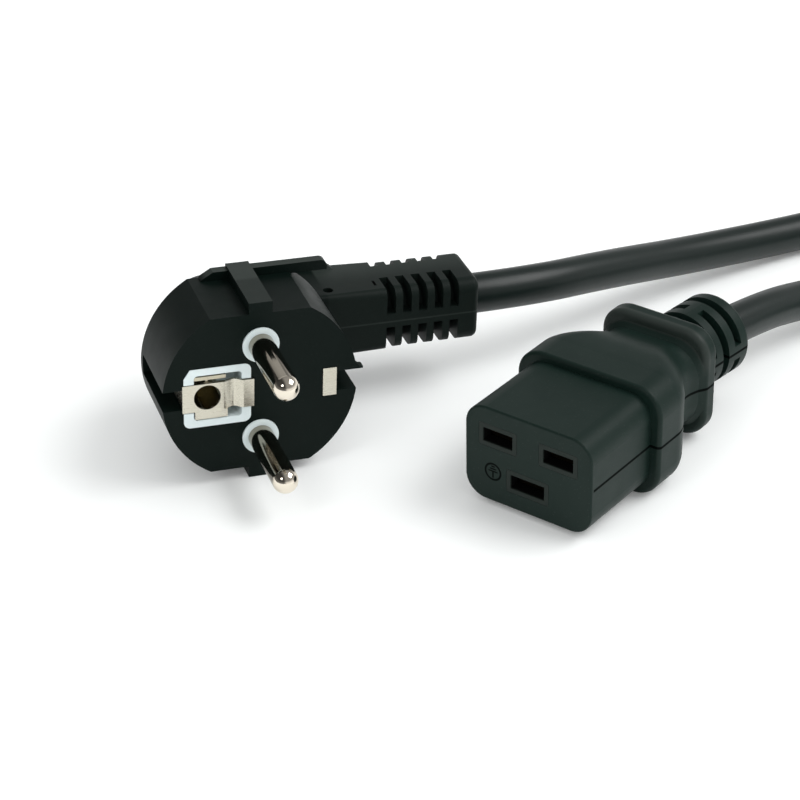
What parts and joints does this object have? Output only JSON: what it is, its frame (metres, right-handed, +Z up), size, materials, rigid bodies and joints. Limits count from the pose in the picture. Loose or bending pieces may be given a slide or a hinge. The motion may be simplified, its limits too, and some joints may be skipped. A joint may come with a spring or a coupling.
{
  "type": "power cord",
  "caption": "Black mains cord with a right-angled round-pin earthed plug, a wide rectangular three-slot connector and a round cable tied in a coil.",
  "frame": {"origin": "middle of the bottom of the box round the plug and the connector, on the table top", "axes": "+Z up, -Y the way the plug's pins point, +X along the plug's cable arm, towards the coil"},
  "size_m": [0.3016, 0.116, 0.0362],
  "materials": {
    "black_pvc": "semi-matt black moulding",
    "pale_insert": "pale moulding",
    "dark_insert": "dark brown moulding",
    "pin_nickel": "polished nickel",
    "sheet_nickel": "matt nickel",
    "contact_brass": "bright sheet",
    "copper": "bare stranded copper",
    "core_brown": "smooth insulation",
    "core_blue": "smooth insulation",
    "core_green_yellow": "smooth insulation",
    "cord_jacket": "satin black jacket",
    "tie_strap": "matt woven strap"
  },
  "bodies": {
    "root": {"plug_shell": "black_pvc", "plug_insert": "pale_insert", "plug_pin_upper": "pin_nickel", "plug_pin_lower": "pin_nickel", "earth_strip": "sheet_nickel", "earth_socket": "sheet_nickel", "connector_shell": "black_pvc", "connector_insert": "dark_insert", "cord_plug_lead": "cord_jacket", "cord_coil": "cord_jacket", "cord_connector_lead": "cord_jacket", "coil_tie": "tie_strap", "plug_core_line": "core_brown", "plug_copper_line": "copper", "plug_core_neutral": "core_blue", "plug_copper_neutral": "copper", "plug_core_earth": "core_green_yellow", "plug_copper_earth": "copper", "connector_core_line": "core_brown", "connector_copper_line": "copper", "connector_contact_line": "contact_brass", "connector_core_neutral": "core_blue", "connector_copper_neutral": "copper", "connector_contact_neutral": "contact_brass", "connector_core_earth": "core_green_yellow", "connector_copper_earth": "copper", "connector_contact_earth": "contact_brass"}
  },
  "joints": []
}
